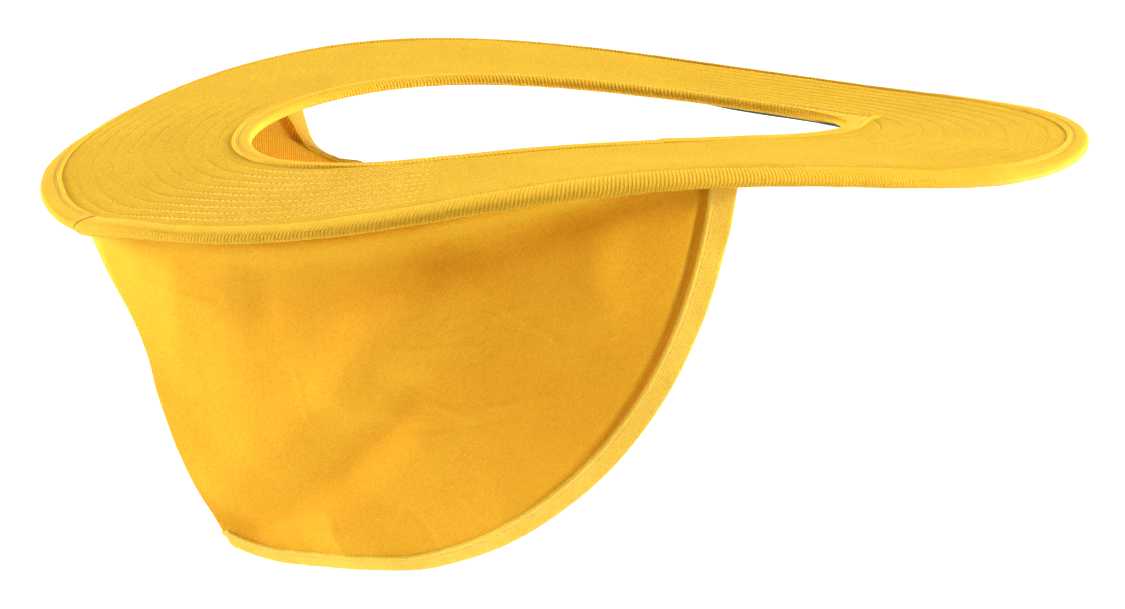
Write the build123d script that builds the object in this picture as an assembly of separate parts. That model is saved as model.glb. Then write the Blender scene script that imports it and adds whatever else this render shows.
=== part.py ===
from build123d import *
from math import cos, hypot, pi, radians, sin
import os

# A slip-on sun shade for a hard hat. A soft full-brim ring slips over the hat's crown, and a neck shade
# hangs from the back half of its rim. Millimetres. -Y is the front, +Z is up, and the part is symmetric
# about the YZ plane. The origin is the centre of the hat opening.

# Plan of the ring
OPENING_LENGTH = 256.0
OPENING_WIDTH = 168.0
BRIM_FRONT = 100.0
BRIM_BACK = 84.0
BRIM_SIDE = 102.0
WIDEST_Y = 7.5              # the ring is widest just behind the opening's centre

# Superellipse exponents: 2 is an ellipse, and less is more pointed
OPENING_FRONT_POWER = 1.8
OPENING_BACK_POWER = 2.1
RIM_POWER = 2.0

# Saddle shape of the ring: level at the sides, and lower towards the front and the back
END_DROP = 36.5
BACK_BIAS = 24.0
TIP_LIFT = 15.5
BACK_KICK = 9.0
FORE_AFT_TILT = 5.5
SIDE_RISE = 0.6
SIDE_BACK_DROP = 4.0
SIDE_LIFT = 6.9
RIM_ROLL = 5.0              # the long sides curl down at the rim

# Layers, from the middle of the ring outwards
STIFFENER = 1.6
CLOTH = 0.8
PLY_GAP = 0.1               # air between sewn layers
EDGE_GAP = 0.3              # and between their edges and the fold of a binding
TAPE = 0.9
THREAD_WIDTH = 0.8
THREAD_HEIGHT = 0.35
LINING_SLACK = 3.0          # the lining hangs loose under the front of the opening

# Bindings and quilting
OUTER_BINDING = 9.0
INNER_BINDING = 7.5
BINDING_STITCH_INSET = 1.3
QUILT_ROWS = 9
FIRST_ROW = 0.15            # share of the brim's width, from the opening
LAST_ROW = 0.83

# Neck shade
SEAM_INSET = 11.0           # the seam runs this far inside the rim
SEAM_HALF_ANGLE = 87.0      # degrees each way from the centre of the back
SHADE_DROP = 0.6            # clearance between the brim's underside and the shade's top edge
SHADE_BULGE = 6.0
HEM_BOTTOM = 8.0
HEM_FRONT = 11.0
HEM_THICKNESS = 2.4
SHADE_STITCH_INSET = 1.6

# The shade's free edge on the wearer's left, from the centre of the back to the front corner
HEM_LINE = [
    (0, 138, -171),
    (19, 118, -175),
    (50, 94, -172),
    (100, 62, -152),
    (130, 46, -127),
    (158, 30, -90),
    (174, 17, -48),
    (181, 7, -5),
]

RING_STATIONS = 15          # sections round half of the ring
LAYER_SHARES = (0.1, 0.28, 0.46, 0.64, 0.82, 0.91)      # where a wide layer's section bends
SHADE_STATIONS = 15         # sections round half of the neck shade
SHADE_STEPS = 4             # straight steps down each section

STACK = STIFFENER / 2 + 2 * PLY_GAP + CLOTH         # from the middle to the face of the cloth


def signed_power(value, power):
    size = abs(value) ** power
    return size if value >= 0 else -size


def superellipse(angle, front, back, half_width, front_power, back_power):
    """A point in plan; angle 0 is the front, and pi is the back."""
    ahead = cos(angle) > 0
    reach = front if ahead else back
    power = front_power if ahead else back_power
    x = half_width * signed_power(sin(angle), 2 / power)
    y = WIDEST_Y - reach * signed_power(cos(angle), 2 / power)
    return x, y


def opening_edge(angle):
    half = OPENING_LENGTH / 2
    front = half + WIDEST_Y
    back = half - WIDEST_Y
    return superellipse(angle, front, back, OPENING_WIDTH / 2, OPENING_FRONT_POWER, OPENING_BACK_POWER)


def rim_edge(angle):
    half = OPENING_LENGTH / 2
    front = half + WIDEST_Y + BRIM_FRONT
    back = half - WIDEST_Y + BRIM_BACK
    half_width = OPENING_WIDTH / 2 + BRIM_SIDE
    return superellipse(angle, front, back, half_width, RIM_POWER, RIM_POWER)


def brim_height(x, y):
    """Height of the ring's middle surface."""
    half_width = OPENING_WIDTH / 2 + BRIM_SIDE
    half_length = OPENING_LENGTH / 2 + (BRIM_FRONT + BRIM_BACK) / 2
    u = x / half_width
    v = y / half_length
    ends = FORE_AFT_TILT * v - END_DROP * v**2 - BACK_BIAS * v**3 + TIP_LIFT * v**4 + BACK_KICK * v**5
    sides = SIDE_LIFT * u**4 + SIDE_RISE * u**2 - SIDE_BACK_DROP * u**2 * v
    return ends + sides


def brim_width(angle):
    inner = opening_edge(angle)
    outer = rim_edge(angle)
    return hypot(outer[0] - inner[0], outer[1] - inner[1])


def brim_point(angle, share, lift):
    """A point on the ring; share 0 is the opening's edge, and 1 is the rim."""
    inner = opening_edge(angle)
    outer = rim_edge(angle)
    x = inner[0] + (outer[0] - inner[0]) * share
    y = inner[1] + (outer[1] - inner[1]) * share
    roll = RIM_ROLL * sin(angle) ** 2 * max(share, 0) ** 6
    return Vector(x, y, brim_height(x, y) - roll + lift)


def ring_solid(section):
    """Loft a closed section round half of the ring, and mirror it to the other half."""
    angles = [pi * i / (RING_STATIONS - 1) for i in range(RING_STATIONS)]
    half = loft([section(angle) for angle in angles])
    return half + mirror(half, about=Plane.YZ)


def layer_section(angle, bottom, top):
    """A wide layer, closed by the outer and the inner binding."""
    edge = (TAPE + EDGE_GAP) / brim_width(angle)
    shares = [edge, *LAYER_SHARES, 1 - edge]
    corners = [brim_point(angle, share, top(angle, share)) for share in shares]
    corners += [brim_point(angle, share, bottom(angle, share)) for share in reversed(shares)]
    return Face(Wire(Polyline(*corners, close=True)))


def strip_section(angle, share, bottom):
    """A thread that lies on the ring, as a thin strip."""
    half = THREAD_WIDTH / 2 / brim_width(angle)
    top = bottom + THREAD_HEIGHT
    corners = [
        brim_point(angle, share - half, bottom),
        brim_point(angle, share + half, bottom),
        brim_point(angle, share + half, top),
        brim_point(angle, share - half, top),
    ]
    return Face(Wire(Polyline(*corners, close=True)))


def binding_section(angle, reach, from_rim):
    """A tape folded over an edge; reach is how far it covers the brim."""
    width = brim_width(angle)
    face = STACK + PLY_GAP
    outer_half = [
        (reach, face),
        (reach, face + TAPE),
        (2.0 * TAPE, face + TAPE),
        (0.6 * TAPE, face + 0.3 * TAPE),
        (0, 0.4 * face),
    ]
    inner_half = [(TAPE, -face), (TAPE, face)]
    outline = outer_half + [(inset, -lift) for inset, lift in reversed(outer_half)] + inner_half
    corners = []
    for inset, lift in outline:
        share = 1 - inset / width if from_rim else inset / width
        corners.append(brim_point(angle, share, lift))
    return Face(Wire(Polyline(*corners, close=True)))


def stiffener():
    half = STIFFENER / 2
    return ring_solid(lambda a: layer_section(a, lambda *_: -half, lambda *_: half))


def top_cover():
    bottom = STIFFENER / 2 + PLY_GAP
    return ring_solid(lambda a: layer_section(a, lambda *_: bottom, lambda *_: bottom + CLOTH))


def under_lining():
    top = -STIFFENER / 2 - PLY_GAP

    def slack(angle, share):
        ahead = max(cos(angle), 0.0) ** 2
        hangs = share == LAYER_SHARES[1]
        return top - CLOTH - LINING_SLACK * ahead * hangs

    return ring_solid(lambda a: layer_section(a, slack, lambda *_: top))


def quilt_row(index):
    share = FIRST_ROW + (LAST_ROW - FIRST_ROW) * index / (QUILT_ROWS - 1)
    return ring_solid(lambda a: strip_section(a, share, STACK + PLY_GAP))


def outer_binding():
    return ring_solid(lambda a: binding_section(a, OUTER_BINDING, True))


def inner_binding():
    return ring_solid(lambda a: binding_section(a, INNER_BINDING, False))


def outer_binding_stitching():
    inset = OUTER_BINDING - BINDING_STITCH_INSET
    bottom = STACK + TAPE + 2 * PLY_GAP
    return ring_solid(lambda a: strip_section(a, 1 - inset / brim_width(a), bottom))


def inner_binding_stitching():
    inset = INNER_BINDING - BINDING_STITCH_INSET
    bottom = STACK + TAPE + 2 * PLY_GAP
    return ring_solid(lambda a: strip_section(a, inset / brim_width(a), bottom))


def seam_point(side):
    """Top edge of the neck shade; side runs from -1 to 1 round the back of the rim."""
    angle = pi - radians(SEAM_HALF_ANGLE) * side
    share = 1 - SEAM_INSET / brim_width(angle)
    return brim_point(angle, share, -STACK - SHADE_DROP)


HALF_HEM = Spline(*HEM_LINE, tangents=((1, -0.6, 0), (0.1, -0.1, 1)))


def hem_point(side):
    """Free edge of the neck shade, for the same range of side."""
    point = HALF_HEM @ abs(side)
    return Vector(point.X if side >= 0 else -point.X, point.Y, point.Z)


def shade_section(side, first, last, low, high):
    """A cross-section of the shade from one drop to another; low and high are measured outwards."""
    top = seam_point(side)
    line = hem_point(side) - top
    down = line.normalized()
    outward = Vector(top.X, top.Y, 0)
    outward = (outward - down * outward.dot(down)).normalized()
    bulge = SHADE_BULGE * (1 - side**2)

    def face_point(drop, height):
        return top + line * drop + outward * (height + bulge * 4 * drop * (1 - drop))

    drops = [first + (last - first) * i / SHADE_STEPS for i in range(SHADE_STEPS + 1)]
    corners = [face_point(drop, high) for drop in drops]
    corners += [face_point(drop, low) for drop in reversed(drops)]
    return Face(Wire(Polyline(*corners, close=True)))


def shade_sheet(first, last, low, high):
    """Part of the neck shade between two drops, lofted round each half."""
    sections = []
    for i in range(SHADE_STATIONS):
        side = i / (SHADE_STATIONS - 1)
        sections.append(shade_section(side, first(side), last(side), low, high))
    half = loft(sections)
    return half + mirror(half, about=Plane.YZ)


def hem_width(side):
    return HEM_BOTTOM + (HEM_FRONT - HEM_BOTTOM) * side**2


def hem_start(side):
    """The drop at which the hem begins, so that the hem keeps its width across its own line."""
    step = 0.01
    along = hem_point(min(side + step, 1)) - hem_point(max(side - step, 0))
    line = hem_point(side) - seam_point(side)
    across = line.cross(along.normalized()).length
    return max(1 - hem_width(side) / across, 0.02)


def neck_shade_panel():
    half = CLOTH / 2
    return shade_sheet(lambda s: 0.0, lambda s: hem_start(s) * 0.99, -half, half)


def neck_shade_hem():
    half = HEM_THICKNESS / 2
    return shade_sheet(hem_start, lambda s: 1.0, -half, half)


def neck_shade_hem_stitching():
    def stitch_edge(inset):
        return lambda s: hem_start(s) + (1 - hem_start(s)) * inset / hem_width(s)

    bottom = HEM_THICKNESS / 2 + 2 * PLY_GAP
    near = stitch_edge(SHADE_STITCH_INSET)
    far = stitch_edge(SHADE_STITCH_INSET + THREAD_WIDTH)
    return shade_sheet(near, far, bottom, bottom + THREAD_HEIGHT)


def neck_shade_seam_stitching():
    """The row under the lining, just inside the shade's top edge."""
    bottom = -STACK - PLY_GAP - THREAD_HEIGHT
    start = pi - radians(SEAM_HALF_ANGLE)
    sections = []
    for i in range(RING_STATIONS):
        angle = start + (pi - start) * i / (RING_STATIONS - 1)
        share = 1 - (SEAM_INSET + 2.5) / brim_width(angle)
        sections.append(strip_section(angle, share, bottom))
    half = loft(sections)
    return half + mirror(half, about=Plane.YZ)


NODES = {
    "brim_stiffener": stiffener,
    "brim_top_cover": top_cover,
    "brim_under_lining": under_lining,
    "outer_binding": outer_binding,
    "outer_binding_stitching": outer_binding_stitching,
    "inner_binding": inner_binding,
    "inner_binding_stitching": inner_binding_stitching,
    "neck_shade_panel": neck_shade_panel,
    "neck_shade_hem": neck_shade_hem,
    "neck_shade_hem_stitching": neck_shade_hem_stitching,
    "neck_shade_seam_stitching": neck_shade_seam_stitching,
}


def main():
    os.makedirs("parts", exist_ok=True)
    for name, make in NODES.items():
        export_step(make(), f"parts/{name}.step")
    for index in range(QUILT_ROWS):
        export_step(quilt_row(index), f"parts/quilt_row_{index + 1}.step")
    print("hinge point", seam_point(0))


main()
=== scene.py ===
import math
import bpy
import numpy as np
from mathutils import Matrix, Vector


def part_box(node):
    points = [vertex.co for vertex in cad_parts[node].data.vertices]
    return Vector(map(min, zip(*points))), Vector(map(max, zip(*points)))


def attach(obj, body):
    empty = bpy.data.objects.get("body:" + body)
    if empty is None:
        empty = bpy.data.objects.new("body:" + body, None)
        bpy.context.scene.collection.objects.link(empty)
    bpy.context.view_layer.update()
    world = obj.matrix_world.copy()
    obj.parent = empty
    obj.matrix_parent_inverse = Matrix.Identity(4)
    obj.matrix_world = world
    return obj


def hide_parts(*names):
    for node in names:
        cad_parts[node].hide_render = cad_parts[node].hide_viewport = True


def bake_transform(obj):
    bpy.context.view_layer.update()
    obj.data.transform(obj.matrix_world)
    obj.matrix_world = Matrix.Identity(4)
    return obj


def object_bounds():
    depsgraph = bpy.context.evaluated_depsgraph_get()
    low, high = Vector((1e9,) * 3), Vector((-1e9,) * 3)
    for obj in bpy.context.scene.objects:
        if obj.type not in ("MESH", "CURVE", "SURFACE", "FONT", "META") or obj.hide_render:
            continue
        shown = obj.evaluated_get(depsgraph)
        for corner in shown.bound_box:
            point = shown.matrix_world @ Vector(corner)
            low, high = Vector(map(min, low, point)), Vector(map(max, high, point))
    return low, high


# The looks of a slip-on sun shade for a hard hat: a quilted twill brim ring with bound edges, and a neck
# shade hung from the back of its rim. Shapes are worked out in millimetres, in the frame's axes.

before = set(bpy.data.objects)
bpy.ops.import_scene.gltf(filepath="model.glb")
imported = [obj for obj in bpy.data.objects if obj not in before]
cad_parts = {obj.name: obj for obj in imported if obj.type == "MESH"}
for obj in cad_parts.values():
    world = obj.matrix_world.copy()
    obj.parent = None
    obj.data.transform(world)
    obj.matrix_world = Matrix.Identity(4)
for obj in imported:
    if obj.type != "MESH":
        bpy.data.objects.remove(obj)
cad_box = [list(corner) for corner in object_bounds()]

MM = 0.001
BRIM_BODY = "brim"

# ---------------------------------------------------------------- sizes from the frame

OUTER_BINDING = 9.0
INNER_BINDING = 7.5


def box_mm(node):
    low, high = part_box(node)
    return np.array(low) / MM, np.array(high) / MM


rim_low, rim_high = box_mm("outer_binding")
binding_low, binding_high = box_mm("inner_binding")
HALF_RIM = rim_high[0]
RIM_FRONT = -rim_low[1]
RIM_BACK = rim_high[1]
HALF_OPENING = binding_high[0] - INNER_BINDING
OPENING_FRONT = -binding_low[1] - INNER_BINDING
OPENING_BACK = binding_high[1] - INNER_BINDING
HALF_LENGTH = (RIM_FRONT + RIM_BACK) / 2

# The ring's outlines and its saddle shape, as in the CAD model
WIDEST_Y = 7.5
OPENING_FRONT_POWER = 1.8
OPENING_BACK_POWER = 2.1
RIM_POWER = 2.0
END_DROP = 36.5
BACK_BIAS = 24.0
TIP_LIFT = 15.5
BACK_KICK = 9.0
FORE_AFT_TILT = 5.5
SIDE_RISE = 0.6
SIDE_BACK_DROP = 4.0
SIDE_LIFT = 6.9
RIM_ROLL = 3.3
SIDE_CURL = 5.2             # the last stretch of the long sides curls down further
CURL_REACH = 14.0

# The soft ring isn't quite even: its two sides differ by a twist from front to back
LEFT_TWIST = (0.6, 6.4, -2.1)
LEFT_EDGE_TWIST = (-3.2, -13.6)
# The rim sags at the back, by degrees round from the front: mm
BACK_SAG = [
    (85, 0), (105, 0.9), (135, 1.9), (150, 2.4), (162, 3.2), (172, 4.6), (179, 5.0), (186, 3.8), (192, 1.2),
    (198, -0.3), (208, -0.7), (225, 0),
]

# Layers
STIFFENER = 1.6
CLOTH = 0.45
STACK = 1.8                 # from the ring's middle to the face of the cloth
TAPE = 0.5
LINING_SLACK = 2.6
OUTER_JOIN = 184.5          # degrees round from the front, where each tape's ends meet
INNER_JOIN = 277.0
JOIN_BOW = 3.4
JOIN_SHADOW_RISE = 0.28        # the dark strand of painted shade in the outer tape's join stands this proud of the tape
FRONT_POINT = 1.9           # the inner binding is this much wider at its front point

# Quilting and stitches
QUILT_ROWS = 9
FIRST_ROW = 0.15
LAST_ROW = 0.83
STITCH_PITCH = 3.0
STITCH_LENGTH = 2.3
THREAD = 0.5
QUILT_THREAD = 0.7
HEM_STITCH_PITCH = 2.6
HEM_STITCH_LENGTH = 1.9

# Neck shade
SEAM_INSET = 11.0
SEAM_HALF_ANGLE = 87.0
SHADE_DROP = 0.6
SHADE_BULGE = 6.0
HEM_BOTTOM = 8.0
HEM_FRONT = 11.0
HEM_HOLLOW = 3.4
FAR_SLACK = 10.0            # the cloth sags where the hem turns up at the wearer's left

row_shares = [FIRST_ROW + (LAST_ROW - FIRST_ROW) * i / (QUILT_ROWS - 1) for i in range(QUILT_ROWS)]

# ---------------------------------------------------------------- shape of the ring


def profile(value, points):
    """A smooth curve through (place, height) points, level beyond its ends."""
    at, height = np.array(points, float).T
    slope = np.gradient(height, at)
    i = np.clip(np.searchsorted(at, value, "right") - 1, 0, len(at) - 2)
    span = at[i + 1] - at[i]
    t = np.clip((value - at[i]) / span, 0, 1)
    rise = (3 * t**2 - 2 * t**3) * (height[i + 1] - height[i])
    bend = (t**3 - 2 * t**2 + t) * slope[i] + (t**3 - t**2) * slope[i + 1]
    return height[i] + rise + bend * span


def smooth_step(value, low, high):
    t = np.clip((value - low) / (high - low), 0, 1)
    return t * t * (3 - 2 * t)


def signed_power(value, power):
    return np.sign(value) * np.abs(value) ** power


def superellipse(angle, front, back, half_width, front_power, back_power):
    ahead = np.cos(angle) > 0
    reach = np.where(ahead, front + WIDEST_Y, back - WIDEST_Y)
    power = np.where(ahead, front_power, back_power)
    x = half_width * signed_power(np.sin(angle), 2 / power)
    y = WIDEST_Y - reach * signed_power(np.cos(angle), 2 / power)
    return x, y


def opening_edge(angle):
    powers = (OPENING_FRONT_POWER, OPENING_BACK_POWER)
    return superellipse(angle, OPENING_FRONT, OPENING_BACK, HALF_OPENING, *powers)


def rim_edge(angle):
    return superellipse(angle, RIM_FRONT, RIM_BACK, HALF_RIM, RIM_POWER, RIM_POWER)


def brim_width(angle):
    inner = opening_edge(angle)
    outer = rim_edge(angle)
    return np.hypot(outer[0] - inner[0], outer[1] - inner[1])


def brim_height(x, y):
    u = x / HALF_RIM
    v = y / HALF_LENGTH
    ends = FORE_AFT_TILT * v - END_DROP * v**2 - BACK_BIAS * v**3 + TIP_LIFT * v**4 + BACK_KICK * v**5
    sides = SIDE_LIFT * u**4 + SIDE_RISE * u**2 - SIDE_BACK_DROP * u**2 * v
    uneven = u * (LEFT_TWIST[0] + LEFT_TWIST[1] * v + LEFT_TWIST[2] * v**2)
    uneven = uneven + u**3 * (LEFT_EDGE_TWIST[0] + LEFT_EDGE_TWIST[1] * v)
    return ends + sides + uneven


def brim_middle(angle, share):
    """Points on the ring's middle surface; angle 0 is the front, and share 0 is the opening's edge."""
    inner = opening_edge(angle)
    outer = rim_edge(angle)
    x = inner[0] + (outer[0] - inner[0]) * share
    y = inner[1] + (outer[1] - inner[1]) * share
    roll = RIM_ROLL * np.sin(angle) ** 2 * np.clip(share, 0, None) ** 6
    inset = (1 - share) * brim_width(angle)
    curl = SIDE_CURL * np.sin(angle) ** 2 * np.clip(1 - inset / CURL_REACH, 0, 1) ** 2
    sag = profile(np.degrees(angle) % 360, BACK_SAG) * np.clip(share, 0, None) ** 1.5
    return np.stack([x, y, brim_height(x, y) - roll - curl - sag], -1)


def unit(vectors):
    return vectors / np.linalg.norm(vectors, axis=-1, keepdims=True)


def brim_normal(angle, share):
    step = 0.004
    across = brim_middle(angle, share + step) - brim_middle(angle, share - step)
    along = brim_middle(angle + step, share) - brim_middle(angle - step, share)
    return unit(np.cross(across, along))


def brim_point(angle, share, lift):
    angle, share, lift = np.broadcast_arrays(angle, share, lift)
    return brim_middle(angle, share) + brim_normal(angle, share) * lift[..., None]


def even_angles(share, count):
    """Angles round the ring at equal steps along one of its rows, starting at the front."""
    angles = np.linspace(0, 2 * math.pi, 6001)
    points = brim_middle(angles, np.full_like(angles, share))
    steps = np.linalg.norm(np.diff(points, axis=0), axis=1)
    travel = np.concatenate([[0], np.cumsum(steps)])
    wanted = np.linspace(0, travel[-1], count + 1)
    return np.interp(wanted, travel, angles), wanted


# ---------------------------------------------------------------- mesh helpers


def smooth_noise(x, y, cell, seed):
    """Smooth noise between -1 and 1, from a seeded lattice with this cell size."""
    size = 128
    lattice = np.random.default_rng(seed).uniform(-1, 1, (size, size))
    gx = x / cell
    gy = y / cell
    ix = np.floor(gx).astype(int)
    iy = np.floor(gy).astype(int)
    fx = gx - ix
    fy = gy - iy
    fx = fx * fx * (3 - 2 * fx)
    fy = fy * fy * (3 - 2 * fy)
    left, right = ix % size, (ix + 1) % size
    below, above = iy % size, (iy + 1) % size
    low = lattice[left, below] * (1 - fx) + lattice[right, below] * fx
    high = lattice[left, above] * (1 - fx) + lattice[right, above] * fx
    return low * (1 - fy) + high * fy


def add_object(name, mesh, material):
    mesh.materials.append(material)
    mesh.polygons.foreach_set("use_smooth", np.ones(len(mesh.polygons), bool))
    piece = bpy.data.objects.new(name, mesh)
    bpy.context.scene.collection.objects.link(piece)
    return piece


def grid_piece(name, points, uv, material, wrap_rows=False, wrap_columns=False):
    """A mesh of quads over a grid of points in mm; a wrapped direction has one more uv than points."""
    rows, columns = points.shape[:2]
    index = np.arange(rows * columns).reshape(rows, columns)
    if wrap_rows:
        index = np.vstack([index, index[:1]])
    if wrap_columns:
        index = np.hstack([index, index[:, :1]])
    spot = np.arange(index.size).reshape(index.shape)
    corners = (spot[:-1, :-1], spot[:-1, 1:], spot[1:, 1:], spot[1:, :-1])
    quads = np.stack(corners, -1).reshape(-1, 4)
    mesh = bpy.data.meshes.new(name)
    mesh.from_pydata((points.reshape(-1, 3) * MM).tolist(), [], index.ravel()[quads].tolist())
    layer = mesh.uv_layers.new(name="cloth")
    flat_uv = np.asarray(uv, float).reshape(-1, 2)[quads.ravel()] * MM
    layer.data.foreach_set("uv", flat_uv.ravel())
    return add_object(name, mesh, material)


def capsules(name, centres, tangents, normals, lengths, radius, material, sink=0.0):
    """Short rounded threads, each along its tangent; sink drops their ends into the cloth."""
    sides = 6
    stations = [(-0.5, 0.02), (-0.48, 0.5), (-0.4, 0.9), (0.0, 1.0), (0.4, 0.9), (0.48, 0.5), (0.5, 0.02)]
    template = []
    for along, girth in stations:
        for k in range(sides):
            turn = 2 * math.pi * k / sides
            template.append((along, girth * math.cos(turn), girth * math.sin(turn), along * along * 4))
    template = np.array(template)
    binormals = np.cross(tangents, normals)
    along = tangents[:, None] * template[:, 0][None, :, None] * lengths[:, None, None]
    rise = normals[:, None] * (template[:, 1] * radius - template[:, 3] * sink)[None, :, None]
    side = binormals[:, None] * (template[:, 2] * radius)[None, :, None]
    points = centres[:, None] + along + rise + side
    around = np.arange(sides)
    turned = (around + 1) % sides
    bands = []
    for i in range(len(stations) - 1):
        low = i * sides
        high = low + sides
        bands.append(np.stack([low + around, low + turned, high + turned, high + around], -1))
    quads = np.concatenate(bands)
    offsets = np.arange(len(centres))[:, None, None] * len(template)
    all_quads = (quads[None] + offsets).reshape(-1, 4)
    mesh = bpy.data.meshes.new(name)
    mesh.from_pydata((points.reshape(-1, 3) * MM).tolist(), [], all_quads.tolist())
    return add_object(name, mesh, material)


def stitch_row(name, path, normals, pitch, length, radius, material, seed, sink=0.2):
    """Stitches along a path of points in mm, with slightly uneven lengths."""
    steps = np.linalg.norm(np.diff(path, axis=0), axis=1)
    travel = np.concatenate([[0], np.cumsum(steps)])
    count = int(travel[-1] / pitch)
    rng = np.random.default_rng(seed)
    middle = (np.arange(count) + 0.5) * travel[-1] / count + rng.uniform(-0.12, 0.12, count)
    lengths = length * (1 + rng.uniform(-0.12, 0.12, count))

    def at(distance, values):
        return np.stack([np.interp(distance, travel, values[:, k]) for k in range(3)], -1)

    start = at(middle - lengths / 2, path)
    end = at(middle + lengths / 2, path)
    lean = rng.uniform(-0.06, 0.06, (count, 1))
    tangents = unit(end - start)
    up = unit(at(middle, normals))
    tangents = unit(tangents + np.cross(up, tangents) * lean)
    return capsules(name, (start + end) / 2, tangents, up, lengths, radius, material, sink)


# ---------------------------------------------------------------- materials


def new_material(name):
    material = bpy.data.materials.new(name)
    material.use_nodes = True
    return material, material.node_tree.nodes, material.node_tree.links


def math_node(nodes, links, operation, first, second=None):
    node = nodes.new("ShaderNodeMath")
    node.operation = operation
    for slot, value in enumerate((first, second)):
        if value is None:
            continue
        if isinstance(value, (int, float)):
            node.inputs[slot].default_value = value
        else:
            links.new(value, node.inputs[slot])
    return node.outputs[0]


def noise_node(nodes, links, vector, scale, detail=2.0):
    node = nodes.new("ShaderNodeTexNoise")
    node.inputs["Scale"].default_value = scale
    node.inputs["Detail"].default_value = detail
    links.new(vector, node.inputs["Vector"])
    return node.outputs["Fac"]


def mix_colors(nodes, links, factor, first, second):
    node = nodes.new("ShaderNodeMix")
    node.data_type = "RGBA"
    links.new(factor, node.inputs["Factor"])
    for slot, value in (("A", first), ("B", second)):
        socket = [s for s in node.inputs if s.name == slot and s.type == "RGBA"][0]
        if isinstance(value, tuple):
            socket.default_value = (*value, 1)
        else:
            links.new(value, socket)
    return [s for s in node.outputs if s.type == "RGBA"][0]


def twill_height(nodes, links, vector, wale, slope):
    """Raised diagonal lines, broken up where the yarns cross; wale is the lines' spacing in metres."""
    split = nodes.new("ShaderNodeSeparateXYZ")
    links.new(vector, split.inputs[0])
    turn = 2 * math.pi / wale
    x = math_node(nodes, links, "MULTIPLY", split.outputs[0], turn)
    y = math_node(nodes, links, "MULTIPLY", split.outputs[1], turn * slope)
    diagonal = math_node(nodes, links, "SINE", math_node(nodes, links, "ADD", x, y))
    yarn = math_node(nodes, links, "SINE", math_node(nodes, links, "MULTIPLY", x, 2.0))
    broken = math_node(nodes, links, "MULTIPLY", yarn, 0.35)
    return math_node(nodes, links, "ADD", diagonal, broken)


def cloth_material(name, light, deep, wale, slope=1.0, weave_depth=0.00006, weave_shade_strength=0.35,
                   use_uv=True, grain=1.0, see_through=0.8):
    """Cotton twill with its weave, fibre grain and uneven dye, and painted shade in the weave's valleys;
    light and deep are linear colours.
    """
    material, nodes, links = new_material(name)
    shader = nodes["Principled BSDF"]
    coordinates = nodes.new("ShaderNodeTexCoord")
    vector = coordinates.outputs["UV"] if use_uv else coordinates.outputs["Object"]
    place = coordinates.outputs["Object"]
    twill = twill_height(nodes, links, vector, wale, slope)
    fibres = noise_node(nodes, links, place, 1100.0, 3.0)
    patches = noise_node(nodes, links, place, 22.0, 3.0)
    # The twill's valleys are coloured towards the deep colour: painted shade between the weave's raised
    # lines.
    painted_weave_shade = math_node(nodes, links, "MULTIPLY", twill, -weave_shade_strength * 0.5)
    speckle = math_node(nodes, links, "SUBTRACT", fibres, 0.5)
    speckle = math_node(nodes, links, "MULTIPLY", speckle, 1.3 * grain)
    uneven = math_node(nodes, links, "SUBTRACT", patches, 0.5)
    uneven = math_node(nodes, links, "MULTIPLY", uneven, 0.9)
    total = math_node(nodes, links, "ADD", math_node(nodes, links, "ADD", painted_weave_shade, speckle), uneven)
    factor = math_node(nodes, links, "ADD", total, 0.5)
    clamp = nodes.new("ShaderNodeClamp")
    links.new(factor, clamp.inputs[0])
    color = mix_colors(nodes, links, clamp.outputs[0], light, deep)
    links.new(color, shader.inputs["Base Color"])
    height = math_node(nodes, links, "ADD", twill, math_node(nodes, links, "MULTIPLY", fibres, 1.4 * grain))
    bump = nodes.new("ShaderNodeBump")
    bump.inputs["Strength"].default_value = 0.8
    bump.inputs["Distance"].default_value = weave_depth
    links.new(height, bump.inputs["Height"])
    links.new(bump.outputs[0], shader.inputs["Normal"])
    shader.inputs["Roughness"].default_value = 0.85
    shader.inputs["Specular IOR Level"].default_value = 0.08
    shader.inputs["Sheen Weight"].default_value = 0.012
    shader.inputs["Sheen Roughness"].default_value = 0.4
    shader.inputs["Subsurface Weight"].default_value = see_through
    shader.inputs["Subsurface Radius"].default_value = (1.0, 0.8, 0.4)
    shader.inputs["Subsurface Scale"].default_value = 0.0006
    return material


def thread_material():
    """Spun sewing thread, lighter than the cloth, with fine fibre noise in its colour and bump."""
    material, nodes, links = new_material("spun_thread")
    shader = nodes["Principled BSDF"]
    place = nodes.new("ShaderNodeTexCoord").outputs["Object"]
    fibres = noise_node(nodes, links, place, 3200.0, 2.0)
    color = mix_colors(nodes, links, fibres, (0.93, 0.60, 0.11), (0.80, 0.46, 0.05))
    links.new(color, shader.inputs["Base Color"])
    bump = nodes.new("ShaderNodeBump")
    bump.inputs["Strength"].default_value = 0.5
    bump.inputs["Distance"].default_value = 0.00008
    links.new(fibres, bump.inputs["Height"])
    links.new(bump.outputs[0], shader.inputs["Normal"])
    shader.inputs["Roughness"].default_value = 0.6
    shader.inputs["Sheen Weight"].default_value = 0.2
    return material


def foam_material():
    material, nodes, links = new_material("foam_sheet")
    shader = nodes["Principled BSDF"]
    place = nodes.new("ShaderNodeTexCoord").outputs["Object"]
    cells = noise_node(nodes, links, place, 900.0, 3.0)
    color = mix_colors(nodes, links, cells, (0.82, 0.82, 0.78), (0.7, 0.7, 0.66))
    links.new(color, shader.inputs["Base Color"])
    shader.inputs["Roughness"].default_value = 0.9
    return material
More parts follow.
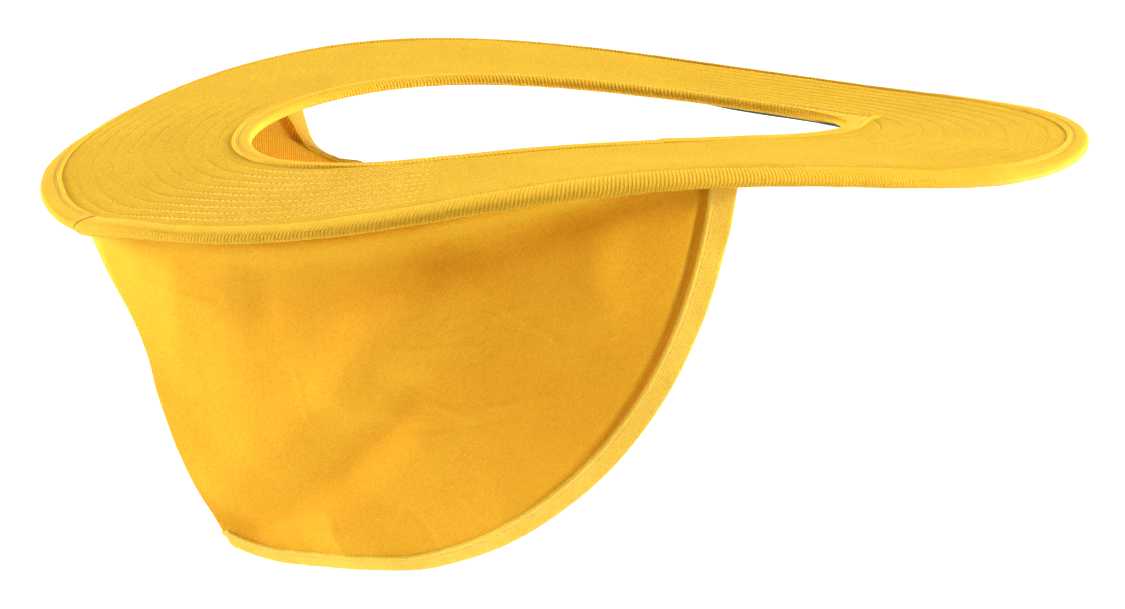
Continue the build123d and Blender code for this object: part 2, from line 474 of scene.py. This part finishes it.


# Linear colours of each cloth's crests and of its darker yarns; the darker colour also carries the painted
# shade in the weave's valleys
BRIGHT_YELLOW = (0.83, 0.475, 0.027)
DEEP_YELLOW = (0.71, 0.325, 0.007)
# The brim's cloth is a darker copy of the neck shade's yellow, though both are one fabric: painted shade
# that balances how the light falls on the brim against the hanging neck shade.
BRIM_SHADED_YELLOW = (0.545, 0.313, 0.013)
BRIM_SHADED_DEEP_YELLOW = (0.433, 0.216, 0.005)
TAPE_YELLOW = (0.655, 0.385, 0.028)
TAPE_DEEP_YELLOW = (0.51, 0.268, 0.011)
HEM_YELLOW = (0.93, 0.61, 0.095)
HEM_DEEP_YELLOW = (0.74, 0.445, 0.040)
# Painted shade: a dark orange for the strand laid in the outer tape's lapped join, where the crevice at the
# tape's folded end lies in shade
JOIN_SHADOW_ORANGE = (0.62, 0.15, 0.012)
JOIN_SHADOW_DEEP_ORANGE = (0.5, 0.09, 0.006)
LINING_GREEN = (0.05, 0.075, 0.045)
LINING_DEEP_GREEN = (0.022, 0.035, 0.022)
shaded_brim_twill = cloth_material("shaded_brim_twill", BRIM_SHADED_YELLOW, BRIM_SHADED_DEEP_YELLOW, 0.0009, use_uv=False, grain=3.2)
shade_twill = cloth_material("shade_twill", BRIGHT_YELLOW, DEEP_YELLOW, 0.00105, slope=0.9,
                             weave_depth=0.00022, weave_shade_strength=1.5, grain=2.6)
join_shadow_cloth = cloth_material("join_shadow_cloth", JOIN_SHADOW_ORANGE, JOIN_SHADOW_DEEP_ORANGE, 0.0016, grain=0.5)
binding_twill = cloth_material("binding_twill", TAPE_YELLOW, TAPE_DEEP_YELLOW, 0.0016, slope=0.3,
                               weave_depth=0.00013, weave_shade_strength=0.8, grain=1.4)
hem_twill = cloth_material("hem_twill", HEM_YELLOW, HEM_DEEP_YELLOW, 0.0011, slope=0.4,
                           weave_depth=0.00008, weave_shade_strength=0.8, grain=1.4)
green_cloth = cloth_material("green_lining", LINING_GREEN, LINING_DEEP_GREEN, 0.0009,
                             use_uv=False, see_through=0.0)
thread = thread_material()
foam = foam_material()

# ---------------------------------------------------------------- brim


def row_strength(angle):
    """The sewn rows pull the cloth in at the back and the front, and hardly at all along the sides."""
    return 0.05 + 0.95 * smooth_step(np.abs(np.cos(angle)), 0.45, 0.85)


def quilt_relief(angle, share, depth, groove_width):
    """How far the sewn rows pull a face in, in mm."""
    width = brim_width(angle)
    depth = depth * row_strength(angle)
    relief = np.zeros(np.broadcast(angle, share).shape)
    for row in row_shares:
        away = (share - row) * width
        relief = relief - depth * np.exp(-((away / groove_width) ** 2))
    return relief


def layer_shares():
    """Shares across the brim, close together beside each sewn row."""
    beside = (-0.034, -0.022, -0.013, -0.007, -0.003, 0.0, 0.003, 0.007, 0.013, 0.022, 0.034)
    shares = [0.012, 0.03, 0.05, 0.07, 0.09, 0.105]
    for row in row_shares:
        shares += [row + step for step in beside]
    shares += [0.875, 0.89, 0.905, 0.92, 0.935, 0.95, 0.965, 0.98, 0.988]
    return np.array(shares)


def ring_sheet(name, face_lift, material, steps):
    angles, travel = even_angles(0.5, steps)
    shares = layer_shares()
    angle = angles[:-1, None]
    points = brim_point(angle, shares[None, :], face_lift(angle, shares[None, :]))
    across = shares[None, :] * brim_width(angles[:, None])
    uv = np.stack(np.broadcast_arrays(travel[:, None], across), -1)
    return grid_piece(name, points, uv, material, wrap_rows=True)


def thicken(piece, thickness, offset):
    modifier = piece.modifiers.new("cloth thickness", "SOLIDIFY")
    modifier.thickness = thickness * MM
    modifier.offset = offset
    return piece


def brim_waves(angle, share):
    """Slight unevenness of the padded ring, in mm."""
    middle = brim_middle(*np.broadcast_arrays(angle, share))
    broad = smooth_noise(middle[..., 0], middle[..., 1], 42.0, 11)
    fine = smooth_noise(middle[..., 0], middle[..., 1], 9.0, 12)
    return 0.30 * broad + 0.10 * fine


def top_lift(angle, share):
    return STACK + brim_waves(angle, share) + quilt_relief(angle, share, 0.42, 0.75)


def bottom_lift(angle, share):
    """The lining's lift; it hangs slack just behind the front corner of the opening."""
    ahead = smooth_step(np.cos(angle), 0.6, 0.85)
    inset = share * brim_width(angle)
    slack = LINING_SLACK * ahead * np.exp(-(((inset - 13) / 4.5) ** 2))
    return -(STACK - brim_waves(angle, share) + quilt_relief(angle, share, 0.45, 1.0)) - slack


def make_brim():
    cover = ring_sheet("brim_top_cover_cloth", top_lift, shaded_brim_twill, 900)
    lining = ring_sheet("brim_under_lining_cloth", bottom_lift, green_cloth, 700)
    thicken(cover, CLOTH, -1)
    thicken(lining, CLOTH, 1)
    stiffener = make_stiffener()
    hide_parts("brim_top_cover")
    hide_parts("brim_under_lining")
    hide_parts("brim_stiffener")
    return [cover, lining, stiffener]


def make_stiffener():
    """The foam sheet between cover and lining, a closed band."""
    angles, _ = even_angles(0.5, 360)
    half = STIFFENER / 2 - 0.15
    shares = np.linspace(0.02, 0.98, 24)
    outline = [(share, half) for share in shares] + [(share, -half) for share in shares[::-1]]
    share, lift = np.array(outline).T
    angle = angles[:-1, None]
    points = brim_point(angle, share[None, :], lift[None, :])
    uv = np.zeros((len(angles), len(outline) + 1, 2))
    return grid_piece("brim_stiffener_foam", points, uv, foam, wrap_rows=True, wrap_columns=True)


def make_quilting():
    """Nine rows; their thread stands proud at the back of the wearer's right, and sinks in elsewhere."""
    pieces = []
    for number, share in enumerate(row_shares, start=1):
        angles, _ = even_angles(share, 1500)
        shares = np.full_like(angles, share)
        turn = np.degrees(angles)
        proud = smooth_step(turn, 186, 206) * (1 - smooth_step(turn, 224, 244))
        sunk = 0.6 * (1 - row_strength(angles))
        path = brim_point(angles, shares, top_lift(angles, shares) - 0.2 - sunk + (0.55 + sunk) * proud)
        normals = brim_normal(angles, shares)
        piece = stitch_row(f"quilt_row_{number}_stitches", path, normals, STITCH_PITCH, STITCH_LENGTH,
                           QUILT_THREAD / 2, thread, 100 + number, sink=0.35)
        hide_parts(f"quilt_row_{number}")
        pieces.append(piece)
    return pieces


# ---------------------------------------------------------------- bindings


def binding_outline(reach, samples=9):
    """Half of a folded tape's section, from its free edge to the middle of the fold.

    Each row is an inset, a lift, and the extra lift of the ridge along the sewn edge, in mm.
    """
    face = STACK + TAPE
    outline = [
        (reach, STACK - 0.5, 0.0),
        (reach + 0.15, STACK - 0.1, 0.3),
        (reach - 0.1, STACK, 0.85),
        (reach - 0.5, STACK + 0.05, 1.15),
        (reach - 0.95, STACK + 0.12, 1.05),
        (reach - 1.3, STACK + 0.2, 0.55),
        (reach - 1.6, STACK + 0.25, 0.05),
        (reach - 2.1, STACK + 0.35, -0.15),
        (reach - 2.7, STACK + 0.45, -0.05),
        (reach - 3.4, face, 0.05),
    ]
    flat_end = 2.6
    for i in range(1, 4):
        outline.append((reach - 3.4 + (flat_end - reach + 3.4) * i / 3, face + 0.08, 0.0))
    for i in range(1, samples + 1):
        turn = math.pi / 2 * i / samples
        outline.append((flat_end * (1 - math.sin(turn)), face * math.cos(turn), 0.0))
    return outline


def ridge_strength(angle, from_rim):
    """The sewn ridge is clear round the ends and the wearer's left, and melts into a roll on the right."""
    turn = np.degrees(angle)
    if from_rim:
        return 1 - smooth_step(turn, 182, 186) * (1 - smooth_step(turn, 294, 318))
    back = smooth_step(turn, 120, 150) * (1 - smooth_step(turn, 205, 225))
    front = 1 - smooth_step(180 - np.abs(turn % 360 - 180), 15, 35)
    return 0.2 + 0.8 * np.maximum(back, front)


def front_point(angle, from_rim):
    """How much wider the inner tape is where its edges meet in a point at the front."""
    turn = np.abs((angle + math.pi) % (2 * math.pi) - math.pi)
    return 0.0 if from_rim else FRONT_POINT * np.exp(-turn / 0.13)


def binding_piece(name, reach, from_rim, steps, join_at, overlap, seed):
    """A tape folded over an edge of the brim, with a lapped join at an angle in degrees."""
    angles, travel = even_angles(1.0 if from_rim else 0.0, steps)
    joined = np.interp(math.radians(join_at), angles, travel)
    half = binding_outline(reach)
    outline = half + [(inset, -lift, -ridge) for inset, lift, ridge in reversed(half[:-1])]
    inset, lift, ridge = np.array(outline).T
    angle = angles[:-1, None]
    run = travel[:-1, None]
    width = brim_width(angle)
    face = STACK + TAPE
    wander = 0.2 * smooth_noise(run, 0 * run, 23.0, seed)
    fold = np.exp(-((inset[None, :] / 3.0) ** 2))
    inset_here = inset[None, :] + wander * (inset[None, :] > 2)
    inset_here = inset_here * (1 + front_point(angle, from_rim))
    swell = 0.14 * smooth_noise(run, 0 * run + 5, 31.0, seed + 1)
    swell = swell + 0.08 * smooth_noise(run, inset_here, 6.0, seed + 2)
    past = run - joined + JOIN_BOW * np.cos(np.clip(lift[None, :] / face, -1, 1) * math.pi / 2)
    end = 1 - np.exp(-np.clip(past, 0, None) / 0.9)
    lap = overlap * end * np.exp(-np.clip(past, 0, None) / 30.0)
    gap = -overlap * 0.45 * np.exp(-((past / 0.8) ** 2))
    rise = lift[None, :] * (1 + (swell + lap + gap) / face)
    rise = rise + ridge[None, :] * ridge_strength(angle, from_rim)
    share = inset_here / width
    outwards = (swell + lap + gap) * fold / width
    share = 1 - share + outwards if from_rim else share - outwards
    points = brim_point(angle, share, rise)
    lengths = np.concatenate([[0], np.cumsum(np.hypot(np.diff(inset), np.diff(lift)))])
    uv = np.stack(np.broadcast_arrays(travel[:, None], lengths[None, :]), -1)
    return grid_piece(name, points, uv, binding_twill, wrap_rows=True)


def binding_stitches(name, reach, from_rim, side, seed):
    """The row that closes a binding, on its top (side 1) or underneath (side -1)."""
    edge = 1.0 if from_rim else 0.0
    angles, _ = even_angles(edge, 2400 if from_rim else 1400)
    shift = (reach - 2.1) * (1 + front_point(angles, from_rim)) / brim_width(angles)
    shares = 1 - shift if from_rim else shift
    buried = 0.35 * (1 - ridge_strength(angles, from_rim))
    lift = side * (STACK + 0.32 - buried)
    path = brim_point(angles, shares, lift)
    normals = brim_normal(angles, shares) * side
    return stitch_row(name, path, normals, STITCH_PITCH, STITCH_LENGTH, THREAD / 2, thread, seed)


def join(pieces, name):
    """Joins pieces of one material into the first of them."""
    bpy.ops.object.select_all(action="DESELECT")
    for piece in pieces:
        piece.select_set(True)
    bpy.context.view_layer.objects.active = pieces[0]
    bpy.ops.object.join()
    pieces[0].name = name
    return pieces[0]


def make_join_shadow(reach, join_at):
    """A thin dark-orange strand laid along the outer tape's lapped join: painted shade for the shaded
    crevice at the tape's folded end.
    """
    angles, travel = even_angles(1.0, 3600)
    joined = np.interp(math.radians(join_at), angles, travel)
    half = binding_outline(reach)[3:]
    outline = np.array(half + [(inset, -lift, 0) for inset, lift, _ in reversed(half[-8:-1])])
    steps = np.hypot(np.diff(outline[:, 0]), np.diff(outline[:, 1]))
    lengths = np.concatenate([[0], np.cumsum(steps)])
    at = np.linspace(0, lengths[-1], 70)
    inset = np.interp(at, lengths, outline[:, 0])
    lift = np.interp(at, lengths, outline[:, 1])
    face = STACK + TAPE
    run = joined - JOIN_BOW * np.cos(np.clip(lift / face, -1, 1) * math.pi / 2)
    angle = np.interp(run, travel, angles)
    share = 1 - (inset - JOIN_SHADOW_RISE * np.exp(-((inset / 3.0) ** 2))) / brim_width(angle)
    points = brim_point(angle, share, lift * (1 + JOIN_SHADOW_RISE / face))
    normals = brim_normal(angle, share)
    tangents = unit(np.gradient(points, axis=0))
    length = np.full(len(at), 0.9)
    edge = capsules("outer_binding_join_shadow", points, tangents, normals, length, 0.42, join_shadow_cloth)
    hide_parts("outer_binding")
    return edge


def make_bindings():
    outer = binding_piece("outer_binding_tape", OUTER_BINDING, True, 3600, OUTER_JOIN, 0.8, 21)
    inner = binding_piece("inner_binding_tape", INNER_BINDING, False, 1900, INNER_JOIN, 0.5, 31)
    pieces = [outer, inner, make_join_shadow(OUTER_BINDING, OUTER_JOIN)]
    for node, piece in (("outer_binding", outer), ("inner_binding", inner)):
        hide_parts(node)
    for node, reach, from_rim, seed in (
        ("outer_binding_stitching", OUTER_BINDING, True, 41),
        ("inner_binding_stitching", INNER_BINDING, False, 51),
    ):
        rows = [binding_stitches(f"{node}_{side}", reach, from_rim, side, seed + side) for side in (1, -1)]
        stitches = join(rows, f"{node}_thread")
        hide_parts(node)
        pieces.append(stitches)
    return pieces


# ---------------------------------------------------------------- neck shade

# The free edge, from the centre of the back to the front corner. The wearer's left side has fallen in.
NEAR_HEM = [
    (0, 138, -171.5),
    (8, 129, -175),
    (20, 117, -176),
    (50, 94, -173),
    (70, 77, -168),
    (105, 59, -150),
    (140, 41, -120),
    (163, 27, -87),
    (175, 16, -53),
    (181, 9, -20),
    (183, 6, 2),
]
FAR_HEM = [
    (0, 138, -171.5),
    (8, 129, -175),
    (20, 117, -175),
    (50, 93, -171),
    (100, 62, -150),
    (132, 42, -128),
    (158, 20, -95),
    (170, 4, -64),
    (174, 10, -50.5),
    (175, 21, -48),
    (176, 29, -45),
    (176.5, 34, -41),
    (177, 38, -33),
    (178, 40, -25),
    (179.5, 33, -14),
    (181, 15, -5),
]


def curve_through(points):
    """A smooth curve through points, as a function of a share of its length (Catmull-Rom)."""
    points = np.array(points, float)
    ends = np.vstack([2 * points[0] - points[1], points, 2 * points[-1] - points[-2]])
    dense = []
    for i in range(len(points) - 1):
        a, b, c, d = ends[i:i + 4]
        for t in np.linspace(0, 1, 40, endpoint=False):
            dense.append(0.5 * (2 * b + (c - a) * t + (2 * a - 5 * b + 4 * c - d) * t**2
                                + (3 * b - a - 3 * c + d) * t**3))
    dense.append(points[-1])
    dense = np.array(dense)
    travel = np.concatenate([[0], np.cumsum(np.linalg.norm(np.diff(dense, axis=0), axis=1))])
    travel = travel / travel[-1]
    return lambda share: np.stack([np.interp(share, travel, dense[:, k]) for k in range(3)], -1)


near_curve = curve_through(NEAR_HEM)
far_curve = curve_through(FAR_HEM)


def hem_edge(side):
    """The free edge; side runs from -1, the near front corner, to 1."""
    near = near_curve(np.abs(side)) * np.array([-1, 1, 1])
    far = far_curve(np.abs(side))
    return np.where((side < 0)[..., None], near, far)


def seam_edge(side):
    angle = math.pi - np.radians(SEAM_HALF_ANGLE) * side
    share = 1 - SEAM_INSET / brim_width(angle)
    return brim_point(angle, share, np.full_like(angle, -STACK - SHADE_DROP))


# Folds of the shade: (start, end, half width in mm, height in mm), with starts and ends as (side, drop)
SOFT_FOLDS = [
    ((-0.56, 0.28), (-0.10, 0.73), 15, 5.0),
    ((-0.43, 0.51), (-0.06, 0.86), 7.5, -4.6),
    ((-0.42, 0.66), (-0.20, 0.88), 12, 3.8),
    ((-0.66, 0.30), (-0.62, 0.60), 20, -2.0),
    ((-0.50, 0.66), (-0.44, 0.90), 12, 1.6),
    ((-0.84, 0.20), (-0.74, 0.55), 12, 1.8),
    ((-0.20, 0.10), (-0.10, 0.34), 8, 1.2),
    ((-0.36, 0.05), (-0.30, 0.22), 9, -1.6),
]
CREASES = [
    ((-0.61, 0.21), (-0.66, 0.57), 1.4, 0.40),
    ((-0.66, 0.57), (-0.57, 0.91), 1.2, 0.35),
    ((-0.54, 0.40), (-0.66, 0.42), 1.6, 0.30),
    ((-0.50, 0.62), (-0.60, 0.70), 1.3, 0.28),
    ((-0.42, 0.63), (-0.54, 0.69), 1.2, -0.30),
    ((-0.44, 0.52), (-0.50, 0.66), 1.3, 0.25),
    ((-0.56, 0.46), (-0.48, 0.40), 1.5, 0.25),
    ((-0.70, 0.56), (-0.76, 0.62), 1.5, 0.22),
    ((-0.30, 0.42), (-0.26, 0.62), 1.6, 0.25),
    ((-0.20, 0.86), (-0.17, 0.97), 1.6, 0.45),
    ((-0.32, 0.86), (-0.31, 0.97), 1.5, -0.45),
    ((-0.40, 0.84), (-0.41, 0.96), 1.6, 0.35),
    ((-0.12, 0.16), (-0.22, 0.20), 1.6, 0.35),
    ((-0.08, 0.22), (-0.16, 0.30), 1.4, -0.25),
]
# How far the centre of the back lies outside its smooth line, by drop
BACK_PROFILE = [
    (0, 0), (0.05, -1.2), (0.15, -1.6), (0.27, -4.2), (0.42, -4.6), (0.52, -2.2), (0.62, -0.4), (0.8, 0.6),
    (0.94, 1.2), (1, 0),
]
CLOTH_RUN = 300.0           # the shade's length from the centre of the back to its front corner
CLOTH_DEPTH = 150.0


def fold(run, depth, start, end, width, height):
    """A ridge or a valley along a straight line of the flat cloth."""
    ax, ay = start[0] * CLOTH_RUN, start[1] * CLOTH_DEPTH
    bx, by = end[0] * CLOTH_RUN, end[1] * CLOTH_DEPTH
    length = math.hypot(bx - ax, by - ay)
    along = ((run - ax) * (bx - ax) + (depth - ay) * (by - ay)) / length**2
    beyond = np.clip(np.abs(along - 0.5) - 0.5, 0, None) * length
    off = ((run - ax) * (by - ay) - (depth - ay) * (bx - ax)) / length
    return height * np.exp(-((off / width) ** 2) - (beyond / (1.2 * width + 3)) ** 2)


def shade_relief(side, drop):
    """Folds and creases of the hanging cloth, outwards in mm."""
    run = side * CLOTH_RUN
    depth = drop * CLOTH_DEPTH
    wander = 4.0 * smooth_noise(run, depth, 30.0, 63)
    relief = 0.8 * smooth_noise(run, depth, 42.0, 61) + 0.28 * smooth_noise(run, depth, 15.0, 62)
    for feature in SOFT_FOLDS:
        relief = relief + fold(run + wander, depth + wander, *feature)
    for feature in CREASES:
        relief = relief + fold(run + wander * 0.3, depth - wander * 0.3, *feature)
    puckers = np.sin(run / 3.1 + 2.5 * smooth_noise(run, 0 * run, 19.0, 64))
    relief = relief + 0.22 * puckers * smooth_step(drop, 0.86, 1.0)
    relief = relief * smooth_step(drop, 0.0, 0.12)
    beside = smooth_step(np.abs(side), 0.2, 0.42) * (1 - smooth_step(np.abs(side), 0.78, 0.95))
    tucked = 3.0 * np.exp(-(((depth - 8) / 6) ** 2)) - 4.5 * np.exp(-(((depth - 25) / 14) ** 2))
    relief = relief + beside * tucked * smooth_step(depth, 0.0, 6.0)
    return relief + profile(drop, BACK_PROFILE) * np.exp(-((side / 0.16) ** 2))


def hem_width(side):
    return HEM_BOTTOM + (HEM_FRONT - HEM_BOTTOM) * side**2


def hem_start(side):
    """The drop at which the hem begins, and the length of a whole drop, across the hem's own line."""
    step = 0.01
    along = unit(hem_edge(np.clip(side + step, -1, 1)) - hem_edge(np.clip(side - step, -1, 1)))
    line = hem_edge(side) - seam_edge(side)
    across = np.linalg.norm(np.cross(line, along), axis=-1)
    return np.clip(1 - hem_width(side) / across, 0.05, 1), across


def hem_hollow(side, drop):
    """Towards the front, the cloth dips behind the hem."""
    start, across = hem_start(side)
    inside = (start - drop) * across
    return -HEM_HOLLOW * np.exp(-(((inside - 1.8) / 1.9) ** 2)) * smooth_step(np.abs(side), 0.42, 0.68)


def shade_point(side, drop, creased=True):
    side, drop = np.broadcast_arrays(side, drop)
    top = seam_edge(side)
    bottom = hem_edge(side)
    outward = unit(top * np.array([1, 1, 0]))
    out = SHADE_BULGE * 4 * drop * (1 - drop) * (1 - side**2) + shade_relief(side, drop)
    if creased:
        out = out + hem_hollow(side, drop)
    slack = FAR_SLACK * np.exp(-(((side - 0.8) / 0.05) ** 2)) * 4 * drop * (1 - drop)
    points = top + (bottom - top) * drop[..., None] + outward * out[..., None]
    points[..., 2] -= slack
    return points


def shade_normal(side, drop):
    step = 0.004
    across = shade_point(np.clip(side + step, -1, 1), drop, False)
    across = across - shade_point(np.clip(side - step, -1, 1), drop, False)
    down = shade_point(side, np.clip(drop + step, 0, 1), False)
    down = down - shade_point(side, np.clip(drop - step, 0, 1), False)
    return unit(np.cross(down, across))


def make_shade():
    sides = np.linspace(-1, 1, 641)
    steps = np.linspace(0, 1, 150)
    start, across = hem_start(sides)
    side = sides[:, None]
    drop = steps[None, :] * np.clip(start + 2.5 / across, 0, 1)[:, None]
    points = shade_point(side, drop)
    depth = np.linalg.norm(hem_edge(sides) - seam_edge(sides), axis=-1)
    uv = np.stack(np.broadcast_arrays(side * CLOTH_RUN, drop * depth[:, None]), -1)
    panel = grid_piece("neck_shade_panel_cloth", points, uv, shade_twill)
    thicken(panel, CLOTH, 0)
    return panel


# The hem's section, as (inset, lift) in mm: its face from its inner edge, the fold from the free edge,
# and its back. The stitches lie in the dip behind the ridge.
HEM_STITCH_INSET = 2.7
HEM_FACE = [
    (0.0, 0.0), (0.05, 0.9), (0.3, 1.7), (0.7, 2.1), (1.15, 1.9), (1.5, 1.2), (1.8, 0.5), (2.2, 0.3),
    (HEM_STITCH_INSET, 0.26), (3.3, 0.34), (3.8, 0.5), (4.4, 0.75), (5.4, 0.85),
]
HEM_EDGE = [(1.2, 0.8), (0.6, 0.66), (0.15, 0.36), (0.0, 0.0), (0.15, -0.36), (0.6, -0.6), (1.6, -0.66)]
HEM_BACK = [(4.5, -0.62), (2.6, -0.5), (1.8, -0.8), (1.0, -1.4), (0.4, -1.0)]


def make_hem():
    """The folded hem, with a sharp ridge along its inner edge and a puffed band outside its stitches."""
    sides = np.linspace(-1, 1, 1500)
    start, _ = hem_start(sides)
    width = hem_width(sides)[:, None]
    insets = [np.full_like(width, inset) for inset, _ in HEM_FACE]
    insets += [width - edge for edge, _ in HEM_EDGE]
    insets += [np.full_like(width, inset) for inset, _ in HEM_BACK]
    inset = np.hstack(insets)
    lift = np.array([lift for _, lift in HEM_FACE + HEM_EDGE + HEM_BACK])
    drop = np.clip(start[:, None] + (1 - start[:, None]) * inset / width, 0, 1)
    side = np.broadcast_to(sides[:, None], drop.shape)
    run = hem_travel(sides)[:, None]
    puff = 1 + 0.05 * smooth_noise(run, inset, 4.0, 66) + 0.12 * smooth_noise(run, 0 * run, 13.0, 67)
    points = shade_point(side, drop, False) + shade_normal(side, drop) * (lift[None, :] * puff)[..., None]
    around = np.linspace(0, 20, len(lift) + 1)
    uv = np.stack(np.broadcast_arrays(run, around[None, :]), -1)
    return grid_piece("neck_shade_hem_band", points, uv, hem_twill, wrap_columns=True)


def hem_travel(sides):
    steps = np.linalg.norm(np.diff(hem_edge(sides), axis=0), axis=1)
    return np.concatenate([[0], np.cumsum(steps)])


def make_hem_stitches():
    sides = np.linspace(-0.995, 0.995, 1600)
    start, _ = hem_start(sides)
    drop = start + (1 - start) * HEM_STITCH_INSET / hem_width(sides)
    rows = []
    for number, (face, height) in enumerate(((1, 0.34), (-1, 0.66))):
        normal = shade_normal(sides, drop) * face
        path = shade_point(sides, drop, False) + normal * height
        rows.append(stitch_row(f"hem_stitches_{number}", path, normal, HEM_STITCH_PITCH, HEM_STITCH_LENGTH,
                               0.3, thread, 71 + number, sink=0.25))
    return join(rows, "neck_shade_hem_stitching_thread")


def make_seam_stitches():
    half_turn = math.radians(SEAM_HALF_ANGLE)
    angles = np.linspace(math.pi - half_turn, math.pi + half_turn, 1500)
    shares = 1 - (SEAM_INSET + 2.5) / brim_width(angles)
    path = brim_point(angles, shares, bottom_lift(angles, shares) - CLOTH - 0.1)
    normals = -brim_normal(angles, shares)
    piece = stitch_row("neck_shade_seam_stitching_thread", path, normals, STITCH_PITCH, STITCH_LENGTH,
                       THREAD / 2, thread, 81)
    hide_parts("neck_shade_seam_stitching")
    return piece


def make_neck_shade():
    panel = make_shade()
    hem = make_hem()
    stitches = make_hem_stitches()
    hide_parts("neck_shade_panel")
    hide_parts("neck_shade_hem")
    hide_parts("neck_shade_hem_stitching")
    for piece in (panel, hem, stitches):
        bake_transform(piece)


# ---------------------------------------------------------------- camera, light and floor

CAMERA_AZIMUTH = 245.5
CAMERA_ELEVATION = 9.4
CAMERA_ROLL = 1.3
CAMERA_DISTANCE = 2.3
CAMERA_LENS = 179.8
AIM_RIGHT = 0.0029           # the camera is aimed this far to the right of the origin, and below it
AIM_BELOW = 0.0785
FLOOR_DROP = 0.32
WORLD_STRENGTH = 0.52
LEFT_POWER = 5.0
RIGHT_POWER = 5.2
FRONT_POWER = 4.5
FLOOR_LIGHT = (0.83, 0.83, 0.83)
FLOOR_DEEP = (0.81, 0.81, 0.81)


def make_camera():
    azimuth = math.radians(CAMERA_AZIMUTH)
    elevation = math.radians(CAMERA_ELEVATION)
    level = math.cos(elevation)
    back = Vector((math.sin(azimuth) * level, -math.cos(azimuth) * level, math.sin(elevation)))
    data = bpy.data.cameras.new("camera")
    data.sensor_width = 36.0
    data.lens = CAMERA_LENS
    data.clip_end = 50.0
    camera = bpy.data.objects.new("camera", data)
    roll = Matrix.Rotation(math.radians(CAMERA_ROLL), 4, "Z")
    turn = back.to_track_quat("Z", "Y").to_matrix().to_4x4() @ roll
    right = turn.to_3x3() @ Vector((1, 0, 0))
    up = turn.to_3x3() @ Vector((0, 1, 0))
    location = back * CAMERA_DISTANCE
    aim = right * AIM_RIGHT - up * AIM_BELOW - location
    tilt = (-back).rotation_difference(aim.normalized()).to_matrix().to_4x4()
    camera.matrix_world = Matrix.Translation(location) @ tilt @ turn
    bpy.context.scene.collection.objects.link(camera)
    bpy.context.scene.camera = camera


def sun_light(name, aside, height, power, softness):
    """A soft parallel light; aside is degrees to the camera's right, and height is degrees above level."""
    data = bpy.data.lights.new(name, "SUN")
    data.energy = power
    data.angle = math.radians(softness)
    light = bpy.data.objects.new(name, data)
    azimuth = math.radians(CAMERA_AZIMUTH + aside)
    level = math.cos(math.radians(height))
    toward = Vector((math.sin(azimuth) * level, -math.cos(azimuth) * level, math.sin(math.radians(height))))
    light.rotation_euler = toward.to_track_quat("Z", "Y").to_euler()
    light.location = toward * 2
    bpy.context.scene.collection.objects.link(light)


def low_lamp(name, location, target, power):
    """A soft lamp ahead of the object and below its brim; it lights the inside of the neck shade."""
    data = bpy.data.lights.new(name, "AREA")
    data.energy = power
    data.shape = "DISK"
    data.size = 0.25
    lamp = bpy.data.objects.new(name, data)
    lamp.location = location
    lamp.rotation_euler = (Vector(location) - Vector(target)).to_track_quat("Z", "Y").to_euler()
    lamp.visible_camera = False
    bpy.context.scene.collection.objects.link(lamp)


def make_studio():
    world = bpy.data.worlds.new("studio")
    bpy.context.scene.world = world
    world.use_nodes = True
    background = world.node_tree.nodes["Background"]
    background.inputs["Color"].default_value = (1.0, 1.0, 1.0, 1)
    background.inputs["Strength"].default_value = WORLD_STRENGTH
    sun_light("left", -105, 10, LEFT_POWER, 24)
    sun_light("right", 90, 35, RIGHT_POWER, 30)
    low_lamp("front", (0.02, -0.56, -0.17), (0.17, 0.07, -0.06), FRONT_POWER)
    material, nodes, links = new_material("floor")
    shader = nodes["Principled BSDF"]
    place = nodes.new("ShaderNodeTexCoord").outputs["Object"]
    paper = noise_node(nodes, links, place, 3.0)
    color = mix_colors(nodes, links, paper, FLOOR_LIGHT, FLOOR_DEEP)
    links.new(color, shader.inputs["Base Color"])
    shader.inputs["Roughness"].default_value = 0.9
    low = cad_box[0][2] - FLOOR_DROP
    bpy.ops.mesh.primitive_plane_add(size=40, location=(0, 0, low))
    floor = bpy.context.object
    floor.name = "floor"
    floor.data.materials.append(material)
    bpy.context.scene.view_settings.view_transform = "Standard"


# ---------------------------------------------------------------- build

for ring_piece in make_brim() + make_quilting() + make_bindings() + [make_seam_stitches()]:
    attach(ring_piece, BRIM_BODY)
make_neck_shade()
make_camera()
make_studio()
